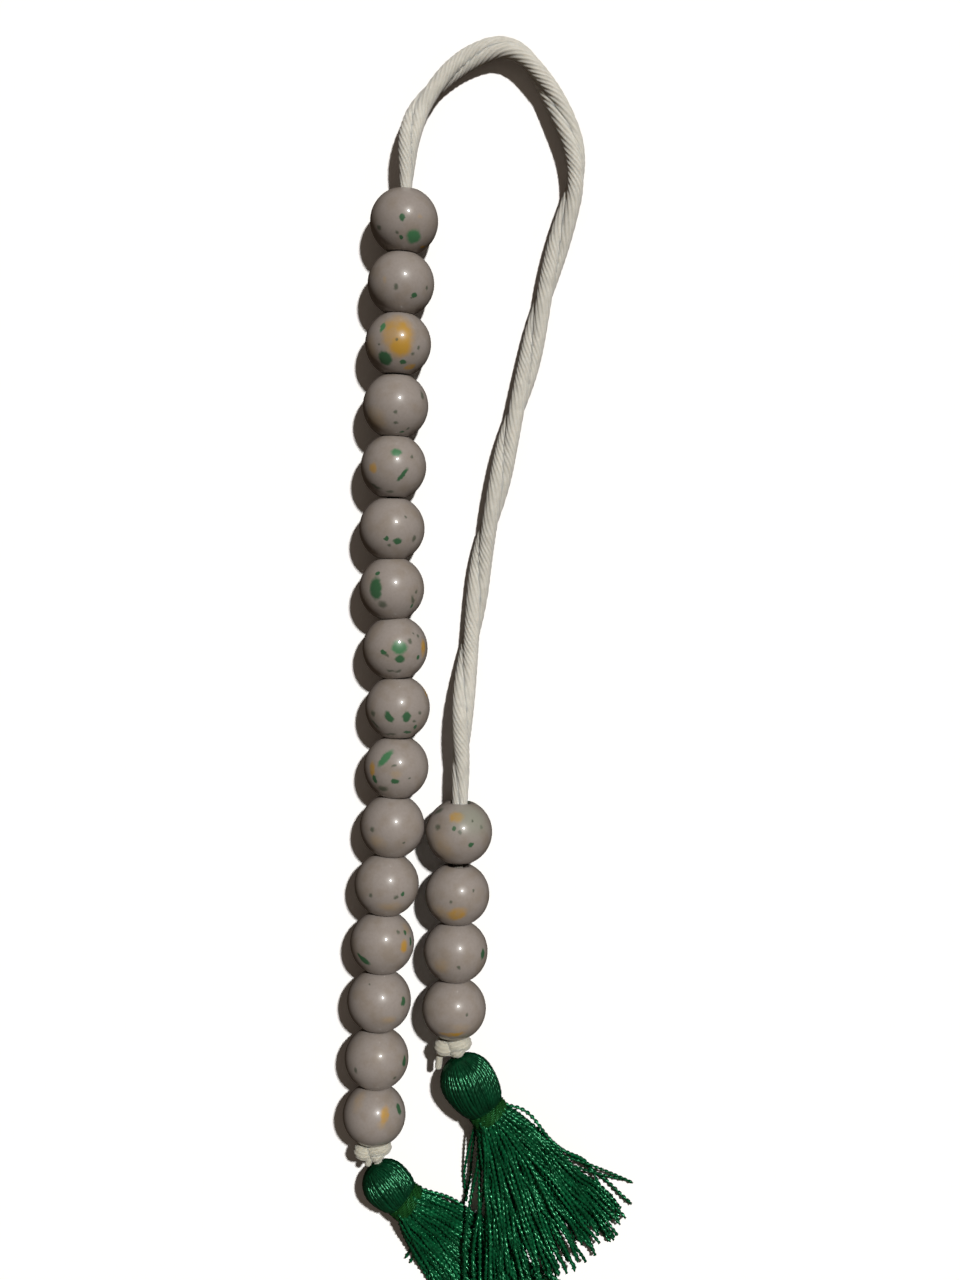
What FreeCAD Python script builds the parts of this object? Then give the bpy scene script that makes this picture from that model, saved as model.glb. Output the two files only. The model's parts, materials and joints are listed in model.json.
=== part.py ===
import FreeCAD, Part

import math
import os

from FreeCAD import Vector

# A string of prayer beads lying on a table, in millimetres. +Z is up and the table is Z = 0.
# The cord makes one open loop: a long row of beads on its left leg, a short row on its right leg,
# and a knot and a silk tassel under each row. +Y runs from the tassels towards the loop.

# Beads
BEAD_DIAMETER = 8.0
BEAD_LENGTH = 7.2
BEAD_FACE_RADIUS = 1.65
BORE_RADIUS = 1.3
LEFT_TRAVEL = 2.5
RIGHT_TRAVEL = 5.0
END_CLEARANCE = 0.05

# The gap below each bead but the last, counted from the loop's end of the row
LEFT_GAPS = (
    0.24, 0.08, 0.28, 0.2, 0.33, 0.15, 0.15, 0.18, 0.22, 0.18, 0.18, 0.18, 0.16, 0.18, 0.06,
)
RIGHT_GAPS = (0.6, 0.06, 0.06)

# Cord
CORD_RADIUS = 1.05
THREADED_RADIUS = 0.95
ARC_SHARE = 0.45
ROW_HEIGHT = BEAD_DIAMETER / 2

# Each row's line on the table, from the knot to the end of the beads' travel
LEFT_ROW = [
    (-14.25, -46.85), (-12.95, -19), (-11.1, 0), (-10.8, 12),
    (-11.65, 23), (-11.45, 35), (-10.7, 54), (-9.55, 74.7),
]
RIGHT_ROW = [(-4.1, -33.45), (-3.05, 2.5)]

# The free loop, from the left row's end to the right row's end
LOOP = [
    (-9.55, 74.7, 4.0), (-9.32, 78.8, 4.0), (-7.9, 84, 1.7), (-2.7, 89.5, 1.8),
    (4.1, 89.7, 2.3), (9.1, 83.8, 2.3), (11.6, 75.2, 2.1), (9, 66.6, 1.4),
    (6.6, 57.9, 1.2), (5.2, 50.9, 1.35), (2.9, 43.2, 1.9), (1.5, 36, 2.2),
    (-0.5, 28.4, 1.25), (-1.3, 21, 1.4), (-2.4, 14.4, 2.0), (-2.86, 8.6, 4.0),
    (-3.05, 2.5, 4.0),
]

# Stopper knots
KNOT_WIDTH = 5.0
KNOT_LENGTH = 2.2
KNOT_HEIGHT = 4.4
KNOT_DROP = 0.5
TAIL_RADIUS = 0.45
LEFT_TAIL = [(-14.4, -46.9, 4.3), (-14.6, -47.6, 4.6), (-14.9, -48.5, 4.4)]
RIGHT_TAIL = [(-5, -33.5, 3.5), (-5.8, -34.8, 3.6), (-6, -36.5, 3.2)]

# Tassels: the head is a dome of folded thread, and the skirt fans out from the neck
LEFT_TASSEL = {"head": (-12.6, -51.4), "radius": 3.2, "neck": 2.4, "angle": -42.0}
RIGHT_TASSEL = {"head": (-2.25, -37.95), "radius": 3.5, "neck": 3.8, "angle": -57.0}
# Where the dome turns down to the neck, as shares of the neck's distance and the head's radius
SHOULDER = (0.62, 0.86)
HANGER_RADIUS = 0.55
EYE_RADIUS = 1.0
EYE_HEIGHT = 2.4
PIVOT_CLEARANCE = 0.15
SWING_ANGLE = 60.0
SLOT_REACH = 1.5
NECK_RADIUS = 2.0
BINDING_RADIUS = 2.6
BINDING_LENGTH = 1.8
BINDING_ROUNDING = 0.5
CORE_STUB = 0.6
BARREL_RADIUS = 1.75
BARREL_OFFSET = 2.0
BARREL_WIDTH = 3.6

# Skirt sections: distance from the lift axis, half width, half height, height of the middle,
# roll about the tassel's line, and shift to the side
LEFT_SKIRT = [
    (0.0, 1.7, 1.6, 3.2, 0, 0.0), (2.5, 4.0, 1.5, 2.5, 0, 0.0), (8.0, 6.2, 0.8, 0.9, 0, -0.6),
    (16.0, 7.8, 0.7, 0.8, 0, -2.0), (20.5, 5.5, 0.6, 0.7, 0, -2.0),
]
RIGHT_SKIRT = [
    (0.0, 1.7, 1.6, 3.5, 0, 0.0), (2.5, 4.2, 1.5, 3.5, 0, -0.7), (8.0, 7.4, 0.9, 3.1, 2, -1.2),
    (15.0, 11.2, 0.8, 2.75, 4, -1.8), (21.0, 8.0, 0.7, 2.6, 4, -3.0),
]


def tube(points, radius):
    """A round tube on straight runs joined by tangent arcs, with the radii of its arcs."""
    corners = [Vector(*p) for p in points]
    edges = []
    bends = []
    start = corners[0]
    for before, corner, after in zip(corners, corners[1:], corners[2:]):
        back = (before - corner).normalize()
        ahead = (after - corner).normalize()
        trim = ARC_SHARE * min((before - corner).Length, (after - corner).Length)
        half_turn = (math.pi - back.getAngle(ahead)) / 2
        bend = trim / math.tan(half_turn)
        bends.append(bend)
        middle = corner + (back + ahead).normalize() * (bend / math.cos(half_turn) - bend)
        arc_start = corner + back * trim
        arc_end = corner + ahead * trim
        edges.append(Part.LineSegment(start, arc_start).toShape())
        edges.append(Part.Arc(arc_start, middle, arc_end).toShape())
        start = arc_end
    edges.append(Part.LineSegment(start, corners[-1]).toShape())
    path = Part.Wire(edges)
    section = Part.Wire(Part.Circle(corners[0], corners[1] - corners[0], radius).toShape())
    return path, path.makePipeShell([section], True, False), bends


def place_along(path, distance):
    """The point and the direction of a path at a distance from its start."""
    for edge in path.OrderedEdges:
        if distance <= edge.Length:
            at = edge.getParameterByLength(distance)
            point, direction = edge.valueAt(at), edge.tangentAt(at)
            return point, direction
        distance -= edge.Length
    raise ValueError("distance is past the end of the path")


def turned(shape, point, direction):
    """The shape, modelled about +X at the origin, moved to a point and turned to a direction."""
    turn = FreeCAD.Rotation(Vector(1, 0, 0), direction)
    copy = shape.copy()
    copy.Placement = FreeCAD.Placement(point, turn).multiply(copy.Placement)
    return copy


def bead():
    """One bead about +X: a slightly flattened ball with a plain bore."""
    half = BEAD_LENGTH / 2
    outline = Part.Wire([
        Part.LineSegment(Vector(-half, 0, 0), Vector(-half, BEAD_FACE_RADIUS, 0)).toShape(),
        Part.Arc(
            Vector(-half, BEAD_FACE_RADIUS, 0),
            Vector(0, BEAD_DIAMETER / 2, 0),
            Vector(half, BEAD_FACE_RADIUS, 0),
        ).toShape(),
        Part.LineSegment(Vector(half, BEAD_FACE_RADIUS, 0), Vector(half, 0, 0)).toShape(),
        Part.LineSegment(Vector(half, 0, 0), Vector(-half, 0, 0)).toShape(),
    ])
    ball = Part.Face(outline).revolve(Vector(0, 0, 0), Vector(1, 0, 0), 360)
    bore = Part.makeCylinder(BORE_RADIUS, BEAD_LENGTH + 2, Vector(-half - 1, 0, 0), Vector(1, 0, 0))
    return ball.cut(bore)


def row(points, side, gaps, travel):
    """One row: its threaded cord and its beads, which are counted from the loop's end."""
    path, cord, bends = tube([(x, y, ROW_HEIGHT) for x, y in points], THREADED_RADIUS)
    nodes = {side + "_cord_run": cord}
    distance = path.Length - travel - END_CLEARANCE - BEAD_LENGTH / 2
    for number, gap in enumerate((*gaps, 0), 1):
        point, direction = place_along(path, distance)
        name = "%s_bead_%02d" % (side, number)
        nodes[name] = turned(bead(), point, direction)
        print(name, [round(v, 4) for v in point], "axis", [round(v, 6) for v in direction])
        distance -= BEAD_LENGTH + gap
    print(side, "row cord", round(path.Length, 1), "mm, radii", [round(b) for b in bends])
    lowest_face = distance + BEAD_LENGTH / 2
    print(side, "gap under the lowest bead", round(lowest_face - KNOT_LENGTH / 2, 2), "mm")
    return nodes, cord


def knot(row_end, row_next, cord):
    """A stopper knot across the end of the row, closed round the end of the threaded cord."""
    direction = (Vector(*row_next, 0) - Vector(*row_end, 0)).normalize()
    ball = Part.makeSphere(0.5)
    size = FreeCAD.Matrix()
    size.scale(KNOT_LENGTH, KNOT_WIDTH, KNOT_HEIGHT)
    ball = ball.transformGeometry(size)
    centre = Vector(*row_end, ROW_HEIGHT - KNOT_DROP)
    return turned(ball, centre, direction).cut(cord), centre


def largest(shape):
    """The largest solid of a shape that a cut may have left in pieces."""
    return max(shape.Solids, key=lambda solid: solid.Volume)


def hanger(start, centre, knot_solid):
    """The hanger: it runs level from the knot into the head, and ends in an upright round eye."""
    arm = Part.makeCylinder(HANGER_RADIUS, (centre - start).Length, start, centre - start)
    eye = Part.makeCylinder(EYE_RADIUS, EYE_HEIGHT, centre - Vector(0, 0, EYE_HEIGHT / 2))
    return largest(arm.fuse(eye).removeSplitter().cut(knot_solid))


def swing_room(start, centre, radius, swing):
    """The room in a head for the eye, and for the hanger's arm as the head swings round it."""
    height = EYE_HEIGHT + 2 * PIVOT_CLEARANCE
    room = Part.makeCylinder(EYE_RADIUS + PIVOT_CLEARANCE, height, Vector(0, 0, -height / 2))
    half = HANGER_RADIUS + PIVOT_CLEARANCE
    reach = radius * SLOT_REACH
    to_knot = start - centre
    first = math.degrees(math.atan2(to_knot.y, to_knot.x)) - max(swing, 0)
    up = Vector(0, 0, 1)
    wedge = Part.makeCylinder(reach, 2 * half, Vector(0, 0, -half), up, abs(swing))
    wedge.rotate(Vector(), up, first)
    room = room.fuse(wedge)
    for angle in (first, first + abs(swing)):
        end = Part.makeCylinder(half, reach, Vector(), Vector(1, 0, 0))
        end.rotate(Vector(), up, angle)
        room = room.fuse(end)
    room.translate(centre)
    return room


def head(centre, out, radius, neck_start):
    """The head: a dome that narrows to the neck, with a stub that the skirt's threads lie round."""
    stub_end = neck_start + BINDING_LENGTH + CORE_STUB
    slant = radius * math.sqrt(0.5)
    top = Vector(0, radius, 0)
    neck = Vector(neck_start, NECK_RADIUS, 0)
    stub = Vector(stub_end, NECK_RADIUS, 0)
    shoulder = Vector(neck_start * SHOULDER[0], radius * SHOULDER[1], 0)
    outline = Part.Wire([
        Part.Arc(Vector(-radius, 0, 0), Vector(-slant, slant, 0), top).toShape(),
        Part.Arc(top, shoulder, neck).toShape(),
        Part.LineSegment(neck, stub).toShape(),
        Part.LineSegment(stub, Vector(stub_end, 0, 0)).toShape(),
        Part.LineSegment(Vector(stub_end, 0, 0), Vector(-radius, 0, 0)).toShape(),
    ])
    dome = Part.Face(outline).revolve(Vector(0, 0, 0), Vector(1, 0, 0), 360)
    return turned(dome, centre, out)


def binding(start, out):
    """The binding: thread wound round the neck."""
    ring = Part.makeCylinder(BINDING_RADIUS, BINDING_LENGTH, start, out)
    rims = [edge for edge in ring.Edges if isinstance(edge.Curve, Part.Circle)]
    ring = ring.makeFillet(BINDING_ROUNDING, rims)
    return ring.cut(Part.makeCylinder(NECK_RADIUS, BINDING_LENGTH, start, out))


def skirt(pivot, out, across, sections):
    """The skirt: a round barrel that lies in the neck's notch, and the fan of threads."""
    barrel = Part.makeCylinder(BARREL_RADIUS, BARREL_WIDTH, pivot - across * BARREL_WIDTH / 2, across)
    rims = []
    for along, half_width, half_height, height, roll, shift in sections:
        middle = pivot + out * along + across * shift
        middle.z = height
        tilt = math.radians(roll)
        wide = across * math.cos(tilt) + Vector(0, 0, 1) * math.sin(tilt)
        rim = Part.Ellipse(middle + wide * half_width, middle + wide.cross(out) * half_height, middle)
        rims.append(Part.Wire(rim.toShape()))
    return barrel.fuse(Part.makeLoft(rims, True, True)).removeSplitter()


def tassel(side, at, knot_solid, knot_centre, swing, sections):
    """A hanger on the knot, then the head, the neck binding and the skirt of one tassel."""
    radius, neck_start = at["radius"], at["neck"]
    turn = math.radians(at["angle"])
    centre = Vector(*at["head"], radius)
    out = Vector(math.cos(turn), math.sin(turn), 0)
    across = Vector(-out.y, out.x, 0)
    pivot = centre + out * (neck_start + BINDING_LENGTH + BARREL_OFFSET)
    arm_start = Vector(knot_centre.x, knot_centre.y, radius)
    notch = Part.makeCylinder(
        BARREL_RADIUS + PIVOT_CLEARANCE, 2 * radius, pivot - across * radius, across
    )
    dome = head(centre, out, radius, neck_start)
    print(side, "tassel: eye", [round(v, 4) for v in centre])
    print(side, "lift axis at", [round(v, 4) for v in pivot], "along", [round(v, 6) for v in across])
    return {
        side + "_hanger_loop": hanger(arm_start, centre, knot_solid),
        side + "_tassel_head": dome.cut(swing_room(arm_start, centre, radius, swing)).cut(notch),
        side + "_neck_binding": binding(centre + out * neck_start, out),
        side + "_tassel_skirt": skirt(pivot, out, across, sections),
    }


def tail(points, knot_solid):
    """The cut end of the cord that stands out of a knot."""
    return largest(tube(points, TAIL_RADIUS)[1].cut(knot_solid))


def build():
    """Every node's solid, by the node's name."""
    nodes = {}
    loop_path, nodes["cord_loop"], bends = tube(LOOP, CORD_RADIUS)
    volume = math.pi * CORD_RADIUS**2 * loop_path.Length
    print("free loop", round(loop_path.Length, 1), "mm, radii", [round(b, 1) for b in bends])
    print("its volume", round(nodes["cord_loop"].Volume, 1), "for section times length", round(volume, 1))
    sides = (
        ("left", LEFT_ROW, LEFT_GAPS, LEFT_TRAVEL, LEFT_TASSEL, -SWING_ANGLE, LEFT_SKIRT, LEFT_TAIL),
        ("right", RIGHT_ROW, RIGHT_GAPS, RIGHT_TRAVEL, RIGHT_TASSEL, SWING_ANGLE, RIGHT_SKIRT, RIGHT_TAIL),
    )
    for side, line, gaps, travel, at, swing, sections, tail_points in sides:
        beads, cord = row(line, side, gaps, travel)
        nodes.update(beads)
        knot_solid, knot_centre = knot(line[0], line[1], cord)
        nodes[side + "_stopper_knot"] = knot_solid
        nodes[side + "_cord_tail"] = tail(tail_points, knot_solid)
        nodes.update(tassel(side, at, knot_solid, knot_centre, swing, sections))
    return nodes


if __name__ == "__main__":
    os.makedirs("parts", exist_ok=True)
    for name, shape in build().items():
        if shape.ShapeType != "Solid" and len(shape.Solids) == 1:
            shape = shape.Solids[0]
        print(name, shape.ShapeType, shape.isValid(), round(shape.Volume, 2))
        shape.exportStep("parts/%s.step" % name)
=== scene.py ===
"""A string of misbaha prayer beads: glazed beads on a two-strand cotton cord, with two silk tassels."""

import json
import math
import random

import bpy
import numpy as np
from mathutils import Matrix, Vector


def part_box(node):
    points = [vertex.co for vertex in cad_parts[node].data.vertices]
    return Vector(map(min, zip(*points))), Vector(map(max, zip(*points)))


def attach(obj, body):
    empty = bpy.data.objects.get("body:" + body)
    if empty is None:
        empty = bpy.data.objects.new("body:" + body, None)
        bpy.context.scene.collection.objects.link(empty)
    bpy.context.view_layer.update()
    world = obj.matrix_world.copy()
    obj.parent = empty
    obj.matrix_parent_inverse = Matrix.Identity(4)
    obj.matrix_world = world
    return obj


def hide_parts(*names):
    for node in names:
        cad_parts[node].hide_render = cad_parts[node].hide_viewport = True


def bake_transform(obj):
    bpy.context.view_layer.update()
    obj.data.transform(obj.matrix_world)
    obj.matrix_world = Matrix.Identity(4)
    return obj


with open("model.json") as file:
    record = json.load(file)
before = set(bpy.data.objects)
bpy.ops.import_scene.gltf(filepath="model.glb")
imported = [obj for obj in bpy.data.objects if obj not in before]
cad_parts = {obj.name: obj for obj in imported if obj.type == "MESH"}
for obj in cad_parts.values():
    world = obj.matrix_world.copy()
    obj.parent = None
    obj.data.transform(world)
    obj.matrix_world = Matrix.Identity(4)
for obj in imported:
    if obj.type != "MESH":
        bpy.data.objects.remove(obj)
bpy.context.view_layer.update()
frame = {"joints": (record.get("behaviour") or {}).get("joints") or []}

MM = 0.001
UP = Vector((0, 0, 1))
# How far above the table the lowest points lie
TABLE_GAP = 0.01 * MM

# The camera looks almost straight down on the table
EYE = Vector((-0.7, 29.0, 182.5)) * MM
EYE_TILT = math.radians(-3.6)
LENS = 27.19
SENSOR_HEIGHT = 24.0
CLIP_START = 10 * MM

# Light: a high sun from the right of the loop, and a weak warm room
SUN_FROM = Vector((0.35, 0.47, 1.0))
SUN_ENERGY = 3.75
SUN_ANGLE = math.radians(3.0)
SUN_COLOUR = (1.0, 0.985, 0.96)
ROOM_COLOUR = (1.0, 0.80, 0.64)
ROOM_STRENGTH = 0.085

# Stage, in metres
PAPER = (0.97, 0.965, 0.96)
TABLE = (0.42, 0.375, 0.33)
TABLE_DEPTH = 0.05 * MM
STAGE_REACH = 3.0
WALL_CORNERS = 48
WALL_FOOT = -0.01
WALL_HEIGHT = 4.0

# Beads. Each is stretched by up to BEAD_STRETCH at both ends to meet its neighbour, less TOUCH
BEAD_RADIUS = 4.0 * MM
BEAD_HALF_LENGTH = 3.6 * MM
BEAD_STRETCH = 0.12 * MM
TOUCH = 0.02 * MM
FACE_RADIUS = 1.65 * MM
BORE_RADIUS = 1.3 * MM
LIP = 0.16 * MM
# The outside is an arc that stops at this share of its reach, where the bore's lip takes over. The
# bore is drawn to a share of the half length, and the glazed outside starts beyond the lip
ARC_SHARE = 0.985
BORE_SHARE = 0.5
OUTSIDE_FROM = BORE_RADIUS * 1.3
BEAD_CORNERS = 96
BEAD_STEPS = 41
LIP_STEPS = 6
# No two are quite the same: their girths differ, and each has shallow waves round it and leans to
# one end. These are shares of the radius
GIRTHS = {"left_bead_01": 1.03, "left_bead_02": 1.01, "right_bead_01": 1.03, "left_bead_16": 0.985}
WAVE = 0.0035
LEAN = 0.006

# Cord: two strands that lie side by side and turn slowly round each other
CORD_STEP = 0.25 * MM
STRAND_THICK = 0.95 * MM
STRAND_WIDE = 0.90 * MM
STRAND_OFFSET = 0.46 * MM
CORD_LAY = 28.6 * MM
CORD_PHASE = math.radians(20)
# Each strand's yarns. Their lay is in strand radii and their depth is a share of the radius
YARNS = 10
YARN_LAY = 11.0
YARN_WANDER = 0.45
YARN_WANDER_RUN = 1.9 * MM
YARN_DEPTH = 0.085
YARN_STEP = 0.12 * MM
YARN_TAPER = (0.6, 0.88)
# How much the bores squeeze it in the beads and where it leaves them, how far out that fades, how
# far inside the top beads' faces the free cord starts, and how low it lies in the bores
THREADED_SHARE = 0.62
BORE_GRIP = 0.74
GRIP_RUN = 9.5 * MM
EXIT_INSET = 0.8 * MM
THREADED_SAG = Vector((0, 0, -0.35)) * MM

# The cord's route, from the left knot through the beads, round the loop and back to the right knot
LEFT_ROW = [
    (-14.25, -46.85, 4.0), (-12.95, -19.0, 4.0), (-11.1, 0.0, 4.0), (-10.8, 12.0, 4.0),
    (-11.65, 23.0, 4.0), (-11.45, 35.0, 4.0), (-10.7, 54.0, 4.0),
]
LOOP = [
    (-9.55, 74.7, 4.0), (-9.32, 78.8, 4.0), (-7.9, 83.3, 2.0), (-2.8, 88.6, 1.7),
    (3.5, 90.6, 2.1), (8.3, 84.2, 2.2), (11.8, 75.8, 2.1), (9.0, 66.6, 1.4),
    (6.6, 57.9, 1.2), (5.2, 50.9, 1.35), (2.9, 43.2, 1.9), (1.5, 36.0, 2.2),
    (-0.5, 28.4, 1.2), (-1.3, 21.0, 1.15), (-2.4, 14.4, 1.6), (-2.86, 8.6, 4.0),
    (-3.05, 2.5, 4.0),
]
RIGHT_END = [(-4.1, -33.45, 4.0)]

# Stopper knots, in millimetres. Each turn has a size, a shift along the cord and one upwards. It
# reaches across the cord, along it and upwards, and slants along the cord by the skew
KNOT_TURNS = ((1.0, 0.05, 0.1), (0.8, -0.11, -0.25))
KNOT_REACH = (0.52, 0.15, 0.85)
KNOT_SKEW = 0.04
KNOT_STRAND = 0.92
KNOT_GAP = 0.25
KNOT_STEPS = 80
# The knot narrows to a neck at these places along the cord, and a cut end stands out beside it
KNOT_NECK = (0.7, 0.2, -0.3, -0.7, -1.1)
KNOT_NECK_RADIUS = 1.3
KNOT_ENDS = {"left": (LEFT_ROW[0], LEFT_ROW[1]), "right": (RIGHT_END[0], LOOP[-1])}
TAILS = {
    "left": [(-14.4, -46.9, 4.3), (-14.6, -47.6, 4.6), (-14.9, -48.5, 4.4)],
    "right": [(-5.0, -33.5, 3.5), (-5.8, -34.8, 3.6), (-6.0, -36.5, 3.2)],
}
TAIL_RADIUS = 0.42
HANGER_RADIUS = 0.52

# Glaze colours, linear
GLAZE = (0.262, 0.231, 0.210)
GLAZE_WARM = (0.232, 0.196, 0.164)
GLAZE_GRAIN = (0.16, 0.14, 0.12)
SPLASH_COLOURS = {
    "green": (0.022, 0.088, 0.036),
    "bright": (0.034, 0.150, 0.060),
    "dark": (0.050, 0.068, 0.042),
    "gold": (0.370, 0.205, 0.028),
    "tint": (0.330, 0.230, 0.115),
    "mist": (0.225, 0.245, 0.190),
}
SPLASH_SOFTNESS = {"green": 0.28, "bright": 0.32, "dark": 0.55, "gold": 0.42, "tint": 0.80, "mist": 0.80}
SPLASH_COVER = {"green": 0.95, "bright": 0.92, "dark": 0.78, "gold": 0.95, "tint": 0.50, "mist": 0.60}
SPLASH_DEPTH = 2.0
SPLASH_WOBBLE = 0.55 * MM
# Specks on a bead's hidden side: how closely set, where each ends and is full, and colour
SPECKS = ((430, 0.30, 0.24, "green"), (900, 0.22, 0.16, "dark"))

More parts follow.
